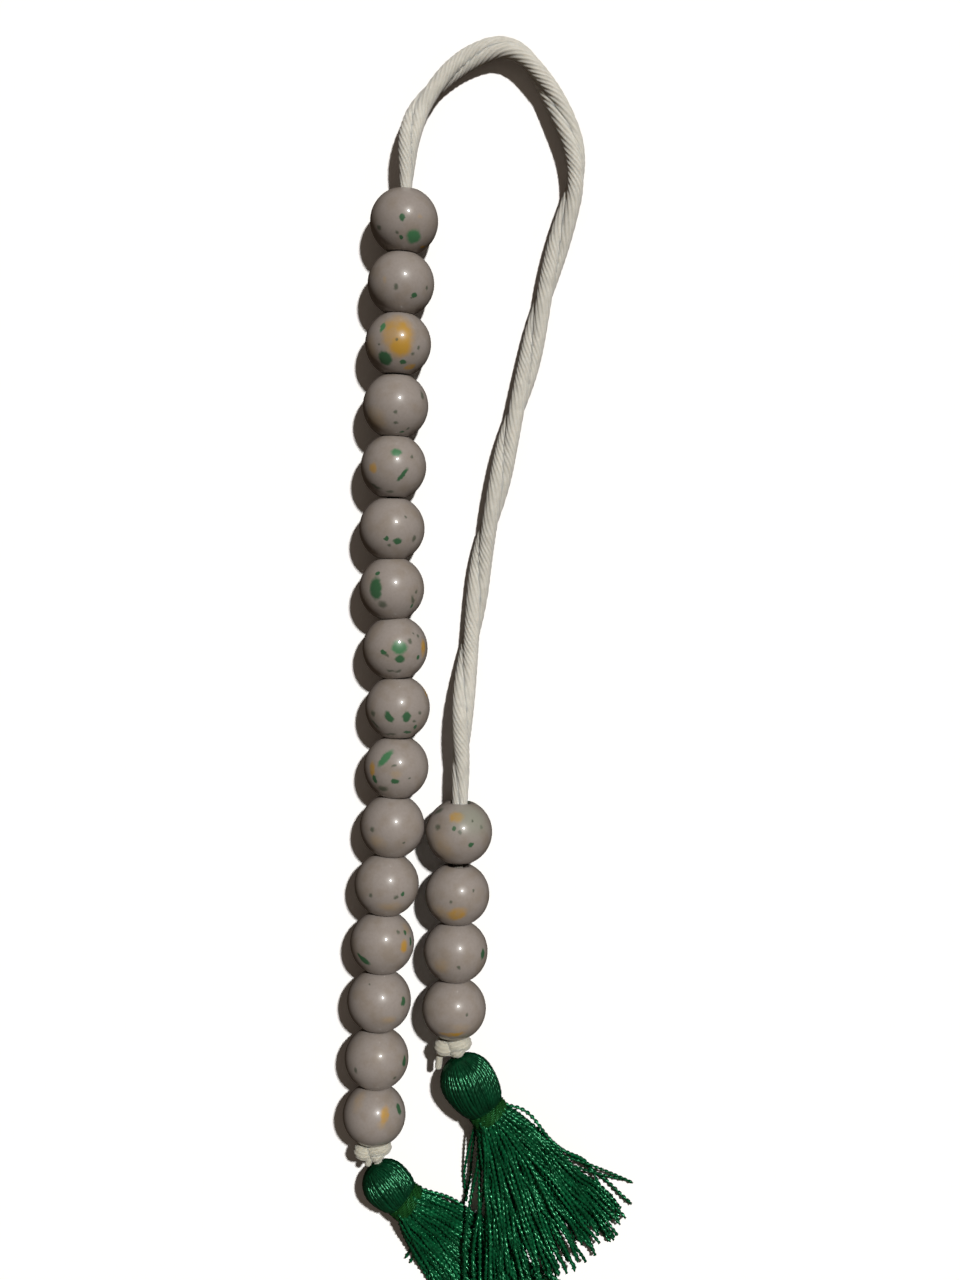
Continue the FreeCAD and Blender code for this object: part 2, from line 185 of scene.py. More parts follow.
# Splashes on each bead: colour, place across and up the bead as the camera sees it, half width,
# half height, all in bead radii, and turn in degrees
SPLASHES = {
    "left_bead_01": [
        ("bright", 0.28, -0.43, 0.21, 0.22, 0), ("green", -0.06, 0.12, 0.08, 0.12, 0),
        ("dark", -0.74, -0.18, 0.09, 0.08, 0), ("dark", -0.21, -0.31, 0.06, 0.06, 0),
        ("green", -0.08, -0.44, 0.06, 0.07, 0), ("tint", 0.46, 0.15, 0.06, 0.06, 0),
        ("gold", 0.55, -0.72, 0.10, 0.06, 0),
    ],
    "left_bead_02": [
        ("dark", -0.15, -0.09, 0.06, 0.08, 0), ("green", 0.40, -0.34, 0.09, 0.08, 0),
        ("dark", 0.76, -0.12, 0.05, 0.08, 0), ("tint", -0.49, 0.12, 0.06, 0.10, 0),
        ("dark", 0.30, -0.40, 0.04, 0.03, 0),
    ],
    "left_bead_03": [
        ("gold", 0.0, 0.30, 0.42, 0.56, 0), ("gold", 0.10, -0.08, 0.28, 0.26, 0),
        ("bright", -0.46, 0.49, 0.08, 0.16, -8), ("green", -0.40, -0.43, 0.21, 0.23, 0),
        ("green", 0.15, -0.52, 0.09, 0.07, 0), ("gold", 0.36, -0.68, 0.17, 0.10, 20),
        ("dark", -0.04, 0.14, 0.05, 0.05, 0), ("dark", 0.62, -0.10, 0.06, 0.06, 0),
        ("dark", 0.44, -0.28, 0.06, 0.06, 0), ("dark", -0.56, 0.02, 0.04, 0.04, 0),
        ("tint", -0.85, -0.10, 0.22, 0.30, 0),
    ],
    "left_bead_04": [
        ("dark", 0.80, 0.34, 0.07, 0.13, 0), ("dark", 0.0, -0.18, 0.06, 0.06, 0),
        ("dark", 0.0, -0.49, 0.07, 0.05, 0), ("green", 0.18, -0.76, 0.08, 0.05, 0),
        ("dark", 0.36, -0.67, 0.06, 0.05, 0), ("tint", -0.6, -0.4, 0.3, 0.3, 0),
    ],
    "left_bead_05": [
        ("bright", 0.09, 0.43, 0.16, 0.12, 0), ("green", 0.28, -0.22, 0.08, 0.24, -38),
        ("dark", -0.55, -0.58, 0.20, 0.07, -35), ("dark", -0.09, -0.73, 0.11, 0.06, 0),
        ("gold", -0.62, -0.03, 0.13, 0.16, 0), ("dark", 0.55, 0.30, 0.05, 0.05, 0),
    ],
    "left_bead_06": [
        ("green", -0.17, -0.30, 0.08, 0.07, 0), ("green", 0.17, -0.37, 0.12, 0.10, 0),
        ("dark", -0.08, -0.50, 0.06, 0.05, 0), ("dark", 0.66, -0.30, 0.06, 0.09, 0),
        ("dark", 0.40, 0.35, 0.04, 0.04, 0),
    ],
    "left_bead_07": [
        ("green", -0.49, 0.0, 0.20, 0.33, 0), ("green", -0.42, 0.46, 0.07, 0.08, 0),
        ("dark", -0.28, -0.49, 0.13, 0.11, 0), ("dark", 0.63, -0.36, 0.06, 0.16, 18),
        ("dark", 0.74, -0.10, 0.05, 0.07, 0), ("green", 0.60, -0.55, 0.06, 0.06, 0),
    ],
    "left_bead_08": [
        ("bright", 0.13, 0.01, 0.23, 0.20, 0), ("green", 0.15, -0.33, 0.15, 0.13, 0),
        ("green", -0.36, -0.13, 0.10, 0.07, -30), ("dark", -0.25, -0.22, 0.06, 0.04, -30),
        ("gold", 0.87, 0.0, 0.11, 0.26, 0), ("dark", 0.44, 0.20, 0.06, 0.08, 0),
        ("dark", 0.70, 0.36, 0.05, 0.05, 0), ("green", 0.68, -0.30, 0.06, 0.08, 0),
        ("dark", -0.14, -0.70, 0.12, 0.05, -15), ("dark", 0.10, -0.70, 0.09, 0.06, 25),
        ("dark", 0.56, 0.44, 0.04, 0.04, 0),
    ],
    "left_bead_09": [
        ("green", -0.26, -0.29, 0.11, 0.19, 32), ("green", 0.27, -0.29, 0.13, 0.15, 0),
        ("dark", -0.75, -0.18, 0.09, 0.09, 0), ("dark", -0.70, -0.50, 0.06, 0.20, 35),
        ("green", 0.54, -0.60, 0.07, 0.09, 0), ("dark", 0.68, -0.16, 0.06, 0.05, 0),
        ("dark", -0.22, -0.82, 0.16, 0.05, 0), ("green", 0.30, -0.76, 0.14, 0.06, 0),
        ("gold", 0.82, 0.56, 0.10, 0.30, -35), ("dark", 0.50, -0.42, 0.06, 0.05, 0),
    ],
    "left_bead_10": [
        ("bright", -0.34, 0.26, 0.12, 0.32, -38), ("gold", -0.74, -0.06, 0.11, 0.22, 0),
        ("green", -0.04, -0.43, 0.13, 0.09, 0), ("dark", -0.42, -0.66, 0.16, 0.10, 0),
        ("dark", -0.06, 0.04, 0.07, 0.04, 20), ("green", -0.66, -0.36, 0.09, 0.12, 0),
        ("tint", 0.0, -0.22, 0.14, 0.10, 0), ("dark", 0.40, -0.36, 0.04, 0.04, 0),
    ],
    "left_bead_11": [
        ("dark", -0.61, -0.09, 0.08, 0.08, 0), ("dark", 0.35, -0.50, 0.05, 0.05, 0),
        ("tint", -0.5, -0.5, 0.25, 0.2, 0),
    ],
    "left_bead_12": [
        ("dark", 0.28, -0.40, 0.07, 0.06, 0), ("green", 0.49, -0.31, 0.07, 0.07, 0),
        ("dark", -0.49, -0.34, 0.06, 0.06, 0), ("tint", 0.1, -0.70, 0.3, 0.15, 0),
    ],
    "left_bead_13": [
        ("green", -0.58, -0.52, 0.09, 0.25, 42), ("gold", 0.68, -0.15, 0.13, 0.20, 0),
        ("tint", 0.76, 0.40, 0.14, 0.16, 0), ("green", 0.88, 0.0, 0.07, 0.12, 0),
        ("dark", 0.49, 0.28, 0.06, 0.06, 0), ("green", 0.70, 0.28, 0.06, 0.06, 0),
    ],
    "left_bead_14": [
        ("green", 0.75, -0.06, 0.09, 0.14, 0), ("tint", 0.30, -0.60, 0.20, 0.12, 0),
        ("dark", -0.30, 0.45, 0.04, 0.04, 0),
    ],
    "left_bead_15": [
        ("green", 0.86, -0.12, 0.09, 0.17, 0), ("dark", -0.65, -0.36, 0.06, 0.10, 0),
        ("dark", 0.55, -0.62, 0.06, 0.05, 0),
    ],
    "left_bead_16": [
        ("tint", -0.50, 0.40, 0.16, 0.26, -15), ("gold", 0.34, -0.04, 0.13, 0.26, -12),
        ("green", 0.79, 0.12, 0.10, 0.17, 15), ("tint", 0.24, -0.34, 0.12, 0.14, 0),
    ],
    "right_bead_01": [
        ("gold", -0.08, 0.44, 0.20, 0.18, 0), ("dark", -0.62, 0.62, 0.16, 0.08, 30),
        ("dark", -0.64, 0.14, 0.10, 0.09, 0), ("green", -0.14, 0.10, 0.07, 0.07, 0),
        ("dark", 0.04, -0.02, 0.06, 0.06, 0), ("green", 0.35, -0.38, 0.08, 0.08, 0),
        ("dark", 0.66, 0.16, 0.05, 0.06, 0), ("tint", -0.55, -0.40, 0.30, 0.36, 20),
        ("mist", 0.42, 0.40, 0.48, 0.44, 0), ("dark", 0.40, 0.34, 0.04, 0.05, 0),
    ],
    "right_bead_02": [
        ("gold", -0.02, -0.64, 0.30, 0.20, 24), ("dark", -0.20, -0.26, 0.05, 0.05, 0),
        ("dark", 0.50, 0.10, 0.03, 0.04, 0), ("tint", -0.46, -0.60, 0.34, 0.22, -20),
    ],
    "right_bead_03": [
        ("green", 0.84, -0.10, 0.09, 0.18, 0), ("dark", 0.10, -0.50, 0.05, 0.05, 0),
        ("tint", -0.50, -0.45, 0.25, 0.2, 0),
    ],
    "right_bead_04": [
        ("gold", -0.07, -0.80, 0.34, 0.09, 0), ("dark", 0.40, -0.20, 0.04, 0.05, 0),
        ("tint", 0.20, -0.60, 0.25, 0.12, 0),
    ],
}

# Silk thread: two plies in the skirts, and smoother folded thread on the heads
THREAD_RADIUS = 0.30 * MM
THREAD_LAY = 1.5 * MM
THREAD_STEP = 0.18 * MM
THREAD_FLAT = 0.32
THREAD_ROOT = 0.6
THREAD_TIP = (0.95, 0.7)
STRAY_SHARE = 0.8
FOLDED_RADIUS = 0.23 * MM
FOLDED_FLAT = 0.10
SILK_TINT = (0.25, 1.0, 0.52)

# Tassels. Each skirt's threads leave the neck at the flare's angles and turn to the fan's, and
# settle between the floor's heights. Angles are in degrees, lengths and floors in millimetres
TASSELS = {
    "left": {
        "centre": Vector((-12.6, -51.4, 3.2)) * MM,
        "radius": 3.15 * MM,
        "neck": 2.4 * MM,
        "angle": -42.0,
        "flare": (-76.0, -20.0),
        "fan": (-59.0, -42.0),
        "length": (23.5, 26.0),
        "floor": (0.35, 1.55),
        "threads": 112,
        "seed": 3,
    },
    "right": {
        "centre": Vector((-2.25, -37.95, 3.5)) * MM,
        "radius": 3.6 * MM,
        "neck": 3.8 * MM,
        "angle": -57.0,
        "flare": (-84.0, -28.0),
        "fan": (-90.0, -45.0),
        "length": (20.5, 24.5),
        "floor": (1.95, 4.1),
        "threads": 132,
        "seed": 8,
    },
}

# Heads. Each layer of threads has a share of the dome's reach, and a shift in threads
HEAD_LAYERS = ((1.0, 0.0), (0.94, 0.5))
HEAD_THREADS = 58
HEAD_STEPS = 40
HEAD_JITTER = 0.2
HEAD_SWAY = 0.12
HEAD_TWIST = 0.45
# The core's share of the dome, the rounding of the shoulder, and where the threads start and end
HEAD_CORE = 0.82
SHOULDER = 0.6
CROWN_SHARE = 0.992
CROWN_REACH = 0.25 * MM
NECK_OVERLAP = 0.3 * MM

# Neck bindings: each layer's radius, turns and inset from both ends, in millimetres
BINDING_LENGTH = 1.8
BINDING_LAYERS = ((2.22, 7.6, 0.05), (2.36, 5.4, 0.3))
BINDING_THREAD = 0.19 * MM
BINDING_WANDER = 0.04
BINDING_SLANT = 0.10
BINDING_STEPS = 220

# Skirts. The threads leave a flattened neck, and fan out, drop, sway and ripple along their runs
NECK_HOLD = 2.3 * MM
NECK_START = 0.8 * MM
NECK_ROUND = 0.8
NECK_FLAT = 0.92
FLARE_RUN = 7.0 * MM
DROP_RUN = 10 * MM
FAN_SCATTER = 3.0
THREAD_SWAY = 0.08
RIPPLE = 0.16 * MM
RIPPLE_RUN = 0.9 * MM
SHARE_JITTER = 1.5
SKIRT_LAYERS = 5
SKIRT_STEPS = 40
# The right skirt's threads drop to the table past the left skirt's edge at this X, in millimetres
LEFT_SKIRT_EDGE = 9.0
EDGE_RUN = 6.0
TABLE_FLOOR = 0.35
EDGE_SHARE = 0.6

# Loose threads that leave the skirts
STRAYS = {
    "left": [
        [(-11.0, -55.4, 2.8), (-10.6, -57.4, 1.6), (-8.9, -58.9, 0.6), (-9.0, -60.4, 0.3),
         (-10.4, -62.6, 0.3)],
        [(-10.8, -55.2, 2.6), (-10.0, -57.6, 1.5), (-8.2, -59.4, 0.6), (-8.6, -60.9, 0.3),
         (-9.8, -63.2, 0.3)],
    ],
    "right": [
        [(1.9, -41.4, 4.8), (4.6, -45.3, 4.3), (9.4, -47.6, 3.4), (14.8, -50.1, 1.6), (19.0, -52.6, 0.3)],
        [(1.8, -41.7, 4.9), (4.9, -46.3, 4.4), (9.9, -48.6, 3.3), (14.0, -50.9, 1.4), (17.9, -52.2, 0.3)],
        [(1.7, -42.0, 5.0), (5.4, -47.2, 4.6), (9.6, -50.2, 3.5), (13.0, -52.9, 1.6), (16.4, -54.2, 0.3)],
        [(1.6, -42.2, 4.9), (5.2, -47.6, 4.4), (9.9, -51.4, 3.2), (13.9, -53.4, 1.2), (17.2, -56.3, 0.3)],
        [(-1.3, -43.4, 3.4), (-1.9, -46.0, 2.6), (-2.5, -49.0, 1.2), (-2.9, -52.0, 0.4), (-2.4, -55.0, 0.3)],
        [(-1.2, -43.6, 3.0), (-1.6, -46.6, 2.2), (-1.9, -49.6, 0.9), (-2.0, -52.6, 0.4), (-2.9, -55.6, 0.3)],
    ],
}


# ---------------------------------------------------------------- materials


class Shader:
    """A material's node tree with a Principled shader, and short calls that add nodes to it."""

    def __init__(self, name, **sockets):
        self.material = bpy.data.materials.new(name)
        self.material.use_nodes = True
        self.tree = self.material.node_tree
        self.skin = self.tree.nodes["Principled BSDF"]
        for socket, value in sockets.items():
            self.skin.inputs[socket.replace("_", " ")].default_value = value

    def add(self, kind, links=(), settings=(), **values):
        """A new node: links feed its sockets, settings are its own options, values fill its sockets."""
        node = self.tree.nodes.new("ShaderNode" + kind)
        for key, value in dict(settings).items():
            setattr(node, key, value)
        for key, value in values.items():
            node.inputs[key.replace("_", " ")].default_value = value
        for key, source in dict(links).items():
            self.tree.links.new(source, node.inputs[key])
        return node

    def link(self, source, socket):
        self.tree.links.new(source, self.skin.inputs[socket])

    def place(self):
        """The place on the object, in metres."""
        return self.add("TexCoord").outputs["Object"]

    def noise(self, place, scale, detail=2.0, roughness=0.5):
        node = self.add("TexNoise", {"Vector": place}, Scale=scale, Detail=detail, Roughness=roughness)
        return node.outputs["Fac"]

    def ramp(self, value, low, high, to_low=0.0, to_high=1.0):
        """A smooth step of a value between two limits."""
        node = self.add(
            "MapRange", {"Value": value}, {"interpolation_type": "SMOOTHSTEP"},
            From_Min=low, From_Max=high, To_Min=to_low, To_Max=to_high,
        )
        return node.outputs["Result"]

    def mix(self, amount, first, second):
        """Mixes two colours, each of them a colour or a node's output."""
        node = self.add("Mix", {}, {"data_type": "RGBA"})
        for socket, value in ((node.inputs[0], amount), (node.inputs[6], first), (node.inputs[7], second)):
            if isinstance(value, (int, float)):
                socket.default_value = value
            elif isinstance(value, tuple):
                socket.default_value = (*value, 1.0)
            else:
                self.tree.links.new(value, socket)
        return node.outputs[2]

    def times(self, first, second):
        node = self.add("Math", {0: first}, {"operation": "MULTIPLY"})
        if isinstance(second, (int, float)):
            node.inputs[1].default_value = second
        else:
            self.tree.links.new(second, node.inputs[1])
        return node.outputs[0]

    def bump(self, height, distance, strength=1.0):
        node = self.add("Bump", {"Height": height}, Distance=distance, Strength=strength)
        self.link(node.outputs["Normal"], "Normal")


def splash_frame(centre, across, up):
    """Where a splash lies on a bead, and the bead's surface directions there."""
    to_eye = (EYE - centre).normalized()
    right = Vector((0, 1, 0)).cross(to_eye).normalized()
    top = to_eye.cross(right)
    depth = math.sqrt(max(0.0, 1 - across * across - up * up))
    normal = right * across + top * up + to_eye * depth
    side = top.cross(normal).normalized()
    return centre + normal * BEAD_RADIUS, side, normal.cross(side), normal


def glaze(name, centre, number):
    """Grey-beige glaze with the bead's own splashes, and scattered specks on its hidden side."""
    s = Shader(name + "_glaze", Roughness=0.36, Coat_Weight=0.5, Coat_Roughness=0.08, Coat_IOR=1.5)
    s.skin.inputs["Specular IOR Level"].default_value = 0.25
    place = s.place()
    shifted = s.add("VectorMath", {0: place}, {"operation": "ADD"})
    shifted.inputs[1].default_value = (number * 0.013, number * 0.029, 0)
    own = shifted.outputs[0]
    clouds = s.ramp(s.noise(own, 420, 3), 0.42, 0.72)
    colour = s.mix(clouds, GLAZE, GLAZE_WARM)
    grain = s.ramp(s.noise(own, 3200, 2), 0.35, 0.75, 0.0, 0.16)
    colour = s.mix(grain, colour, GLAZE_GRAIN)

    # specks and small gold patches where the bead turns away from the eye
    local = s.add("VectorMath", {0: place}, {"operation": "SUBTRACT"})
    local.inputs[1].default_value = centre
    facing = s.add("VectorMath", {0: local.outputs[0]}, {"operation": "DOT_PRODUCT"})
    facing.inputs[1].default_value = (EYE - centre).normalized() / BEAD_RADIUS
    hidden = s.ramp(facing.outputs["Value"], 0.12, -0.2)
    patches = s.ramp(s.noise(own, 260, 1), 0.60, 0.68)
    colour = s.mix(s.times(patches, hidden), colour, SPLASH_COLOURS["gold"])
    for scale, edge, full, tone in SPECKS:
        cells = s.add("TexVoronoi", {"Vector": own}, Scale=scale, Randomness=1.0)
        dots = s.ramp(cells.outputs["Distance"], edge, full)
        colour = s.mix(s.times(dots, hidden), colour, SPLASH_COLOURS[tone])

    # the splashes, with edges drawn out a little unevenly, and gold that is thinner in places
    thin = s.ramp(s.noise(own, 800, 1), 0.30, 0.62, 0.62, 1.0)
    wobble = s.add("TexNoise", {"Vector": own}, Scale=1500.0, Detail=2.0)
    spread = s.add("VectorMath", {0: wobble.outputs["Color"]}, {"operation": "MULTIPLY_ADD"})
    spread.inputs[1].default_value = (SPLASH_WOBBLE,) * 3
    spread.inputs[2].default_value = (-SPLASH_WOBBLE / 2,) * 3
    uneven = s.add("VectorMath", {0: place, 1: spread.outputs[0]}, {"operation": "ADD"}).outputs[0]
    for tone, across, up, wide, high, turn in SPLASHES[name]:
        point, side, rise, normal = splash_frame(centre, across, up)
        axes = Matrix((side, rise, normal)).transposed() @ Matrix.Rotation(math.radians(turn), 3, "Z")
        near = s.add(
            "Mapping", {"Vector": uneven}, {"vector_type": "TEXTURE"},
            Location=point, Rotation=axes.to_euler(),
            Scale=Vector((wide, high, max(wide, high) * SPLASH_DEPTH)) * BEAD_RADIUS,
        )
        reach = s.add("VectorMath", {0: near.outputs[0]}, {"operation": "LENGTH"}).outputs["Value"]
        soft = SPLASH_SOFTNESS[tone]
        cover = s.ramp(reach, 1 + soft, 1 - soft, 0.0, SPLASH_COVER[tone])
        if tone in ("gold", "tint"):
            cover = s.times(cover, thin)
        colour = s.mix(cover, colour, SPLASH_COLOURS[tone])
    s.link(colour, "Base Color")
    s.bump(s.noise(own, 700, 2), 0.012 * MM, 0.5)
    return s.material


def cotton(name, colour):
    """Matt cotton yarn with fine fibres, which light passes into a little way."""
    s = Shader(
        name, Roughness=0.85, Sheen_Weight=0.25, Sheen_Roughness=0.5,
        Subsurface_Weight=0.7, Subsurface_Radius=(1.0, 0.9, 0.8), Subsurface_Scale=0.5 * MM,
    )
    s.skin.inputs["Specular IOR Level"].default_value = 0.2
    place = s.place()
    patches = s.ramp(s.noise(place, 900, 3), 0.35, 0.75)
    tone = s.mix(patches, colour, tuple(c * 0.86 for c in colour))
    fibres = s.noise(place, 9000, 3, 0.7)
    tone = s.mix(s.ramp(fibres, 0.3, 0.8, 0.0, 0.35), tone, tuple(c * 0.6 for c in colour))
    s.link(tone, "Base Color")
    s.bump(fibres, 0.05 * MM, 0.6)
    return s.material


def silk(name, colour, bright, gloss, grain, depth, roughness):
    """Shiny thread with slight differences of tone. grain, depth and roughness are its fibres'."""
    s = Shader(name)
    s.skin.inputs["Specular IOR Level"].default_value = gloss
    s.skin.inputs["Specular Tint"].default_value = (*SILK_TINT, 1)
    place = s.place()
    tone = s.mix(s.ramp(s.noise(place, 700, 3), 0.3, 0.72), colour, bright)
    each = s.add("NewGeometry").outputs["Random Per Island"]
    shade = tuple(c * 0.35 for c in colour)
    tone = s.mix(s.ramp(each, 0.1, 1.0, 0.0, 0.55), tone, shade)
    fibres = s.noise(place, grain, 2, 0.6)
    tone = s.mix(s.ramp(fibres, 0.4, 0.8, 0.0, 0.4), tone, shade)
    s.link(tone, "Base Color")
    s.link(s.ramp(fibres, 0.2, 0.8, *roughness), "Roughness")
    s.bump(fibres, depth, 0.7)
    return s.material


# ---------------------------------------------------------------- mesh helpers


def piece(name, points, faces, material, slot_name):
    """A smooth mesh object, flattened where it rests on the table."""
    points = np.array([tuple(p) for p in points])
    points[:, 2] = np.maximum(points[:, 2], TABLE_GAP)
    mesh = bpy.data.meshes.new(name)
    mesh.from_pydata(points.tolist(), [], faces)
    mesh.polygons.foreach_set("use_smooth", [True] * len(mesh.polygons))
    mesh.materials.append(material)
    mesh.update()
    made = bpy.data.objects.new(name, mesh)
    bpy.context.scene.collection.objects.link(made)
    return made


def even(points, step):
    """Points at even steps along a line of points."""
    points = np.asarray(points, float)
    gaps = np.linalg.norm(np.diff(points, axis=0), axis=1)
    run = np.concatenate([[0], np.cumsum(gaps)])
    count = max(2, int(round(run[-1] / step)) + 1)
    at = np.linspace(0, run[-1], count)
    return np.stack([np.interp(at, run, points[:, k]) for k in range(3)], axis=1), at


def frames(points):
    """The sides and rises of a line at its points, from upright on and carried along without turning."""
    along = np.gradient(points, axis=0)
    along /= np.linalg.norm(along, axis=1, keepdims=True)
    sides = np.empty_like(points)
    side = np.array(UP, float)
    for i, direction in enumerate(along):
        side = side - direction * side.dot(direction)
        if np.linalg.norm(side) < 1e-6:
            side = np.cross(direction, (0.3, 0.9, 0.2))
        side = side / np.linalg.norm(side)
        sides[i] = side
    return sides, np.cross(along, sides)


def skin(rings):
    """Points and faces of a closed tube through rings of points."""
    rings = np.asarray(rings)
    count, corners = rings.shape[:2]
    points = np.concatenate([rings.reshape(-1, 3), rings[:1].mean(1), rings[-1:].mean(1)])
    this = np.arange(corners)
    after = (this + 1) % corners
    low = np.arange(count - 1)[:, None] * corners
    quads = np.stack([low + this, low + after, low + corners + after, low + corners + this], axis=-1)
    top = (count - 1) * corners
    faces = quads.reshape(-1, 4).tolist()
    faces += [(count * corners, n, k) for k, n in zip(this.tolist(), after.tolist())]
    faces += [(count * corners + 1, top + k, top + n) for k, n in zip(this.tolist(), after.tolist())]
    return points, faces


def twisted(line, profile, wide, thick, turns, roll=None, offset=0.0):
    """A tube whose ridges turn with the twist. profile gives each corner's angle and its reach, and
    roll turns the tube's flattened section, which is set to one side of the line by offset."""
    around, reach = profile
    sides, rises = frames(line)
    roll = np.zeros(len(line)) if roll is None else roll
    c, s = np.cos(roll)[:, None], np.sin(roll)[:, None]
    broad = rises * c + sides * s
    narrow = sides * c - rises * s
    angles = around[None, :] + turns[:, None]
    apart = np.reshape(offset, (-1, 1))
    across = (np.cos(angles) * reach * np.reshape(wide, (-1, 1)) + apart)[..., None] * broad[:, None]
    up = (np.sin(angles) * reach * np.reshape(thick, (-1, 1)))[..., None] * narrow[:, None]
    return skin(line[:, None] + across - up)


def ridged(ridges, depth, corners_each=6):
    """A round profile of soft, even ridges."""
    around = np.linspace(0, 2 * math.pi, ridges * corners_each, endpoint=False)
    return around, 1 - depth / 2 * np.cos(ridges * around)


def oval(corners, depth):
    """A flattened round profile, for two plies side by side. It is round where depth is small."""
    around = np.linspace(0, 2 * math.pi, corners, endpoint=False)
    return around, 1 - depth + depth * np.cos(2 * around)


def join(parts):
    """Several meshes as one."""
    points, faces, start = [], [], 0
    for part_points, part_faces in parts:
        points.append(part_points)
        faces.extend(tuple(start + v for v in face) for face in part_faces)
        start += len(part_points)
    return np.concatenate(points), faces


COTTON = ridged(YARNS, YARN_DEPTH)
ROUND = (np.linspace(0, 2 * math.pi, 40, endpoint=False), np.ones(40))
THREAD = oval(6, THREAD_FLAT)
FOLDED = oval(8, FOLDED_FLAT)


def thread(points, radius, first_turn=0.0, profile=THREAD):
    """One twisted thread along a line, thinner at its ends."""
    line, at = even(points, THREAD_STEP)
    radii = np.full(len(line), radius)
    radii[0] *= THREAD_ROOT
    radii[-2:] *= THREAD_TIP
    return twisted(line, profile, radii, radii, first_turn + 2 * math.pi * at / THREAD_LAY)


def plied(points, radius):
    """One twisted cotton strand along a line, with rounded ends."""
    line, at = even(points, YARN_STEP)
    radii = np.full(len(line), radius)
    radii[:2] *= YARN_TAPER
    radii[-2:] *= YARN_TAPER[::-1]
    return twisted(line, COTTON, radii, radii, -2 * math.pi * at / (YARN_LAY * radius))


# ---------------------------------------------------------------- beads


def bead_outline(half):
    """Place along the bore and radius, from inside the bore round the outside and back."""
    rise = BEAD_RADIUS - FACE_RADIUS
    bend = (half * half + rise * rise) / (2 * rise)
    reach = math.asin(half / bend)
    stop = reach * ARC_SHARE
    outside = [
        (bend * math.sin(a), BEAD_RADIUS - bend + bend * math.cos(a))
        for a in np.linspace(-stop, stop, BEAD_STEPS)
    ]
    lip = [
        (half - LIP + LIP * math.cos(a), BORE_RADIUS + LIP - LIP * math.sin(a))
        for a in np.linspace(0.0, math.pi / 2, LIP_STEPS)
    ]
    start = [(-x, r) for x, r in lip]
    deep = half * BORE_SHARE
    return [(-deep, BORE_RADIUS), *reversed(start), *outside, *lip, (deep, BORE_RADIUS)]


def bead(name, number, centre, axis, half):
    """One glazed bead about its own stretch of the cord."""
    side = axis.cross(UP).normalized()
    rise = side.cross(axis)
    outline = bead_outline(half)
    around = BEAD_CORNERS
    rng = random.Random(number * 7 + 1)
    waves = [(k, rng.uniform(0.0, 2 * math.pi), WAVE / k) for k in (2, 3, 4)]
    lean = rng.uniform(-LEAN, LEAN)
    girth = GIRTHS.get(name, 1.0)
    points = []
    for place, radius in outline:
        share = place / half
        for k in range(around):
            angle = 2 * math.pi * k / around
            swell = 1.0
            if radius > OUTSIDE_FROM:
                swell = girth + lean * share
                swell += sum(size * math.cos(n * angle + phase) for n, phase, size in waves)
            points.append(
                centre + axis * place + side * (radius * swell * math.cos(angle))
                + rise * (radius * swell * math.sin(angle))
            )
    faces = []
    rows = len(outline)
    for i in range(rows):
        low_row, high_row = i * around, ((i + 1) % rows) * around
        for k in range(around):
            n = (k + 1) % around
            faces.append((low_row + k, low_row + n, high_row + n, high_row + k))
    made = piece(name + "_glazed", points, faces, glaze(name, centre, number), "bead_glaze")
    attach(made, name)
    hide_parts(name)


def middle(node):
    """The middle of a CAD node's box."""
    low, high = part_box(node)
    return (Vector(low) + Vector(high)) / 2


def beads():
    """All the beads. Each one is as long as the distance to its nearer neighbour allows. Returns
    their centres and the directions of their slides."""
    axes = {
        joint["child"]: Vector(joint["axis"]).normalized()
        for joint in frame["joints"] if joint["name"].endswith("_slide")
    }
    centres = {name: middle(name) for name in SPLASHES}
    for number, name in enumerate(sorted(SPLASHES), 1):
        row = name[:-2]
        others = [centres[n] for n in centres if n.startswith(row) and n != name]
        nearest_one = min((other - centres[name]).length for other in others)
        half = min(nearest_one / 2 - TOUCH, BEAD_HALF_LENGTH + BEAD_STRETCH)
        bead(name, number, centres[name], axes[name], half)
    return centres, axes


# ---------------------------------------------------------------- cord


def spline_points(route):
    """Points of the smooth line that the route's points steer."""
    curve = bpy.data.curves.new("cord_route", "CURVE")
    curve.dimensions = "3D"
    spline = curve.splines.new("NURBS")
    spline.points.add(len(route) - 1)
    for point, place in zip(spline.points, route):
        point.co = (*(c * MM for c in place), 1.0)
    spline.order_u = 3
    spline.use_endpoint_u = True
    spline.resolution_u = 40
    holder = bpy.data.objects.new("cord_route", curve)
    mesh = bpy.data.meshes.new_from_object(holder)
    points = np.array([v.co for v in mesh.vertices])
    bpy.data.meshes.remove(mesh)
    bpy.data.objects.remove(holder)
    bpy.data.curves.remove(curve)
    return points


def grip(at, share):
    """How far a bead's bore squeezes the free cord at each of its ends."""
    near = np.minimum(at - at[0], at[-1] - at) / GRIP_RUN
    near = np.clip(near, 0, 1)
    return share + (1 - share) * near * near * (3 - 2 * near)


def cord_piece(name, line, at, squeeze, material):
    """Both strands of a stretch of the cord, side by side and turning slowly round each other."""
    roll = CORD_PHASE + 2 * math.pi * at / CORD_LAY
    turns = -2 * math.pi * at / (YARN_LAY * STRAND_THICK) + roll + YARN_WANDER * np.sin(at / YARN_WANDER_RUN)
    squeeze = np.full(len(at), squeeze) if np.isscalar(squeeze) else squeeze
    parts = [
        twisted(
            line, COTTON, STRAND_WIDE * squeeze, STRAND_THICK * squeeze, turns, roll,
            side * STRAND_OFFSET * squeeze ** 2,
        )
        for side in (-1, 1)
    ]
    made = piece(name, *join(parts), material, "cotton_cord")
    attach(made, "cord")
    return made


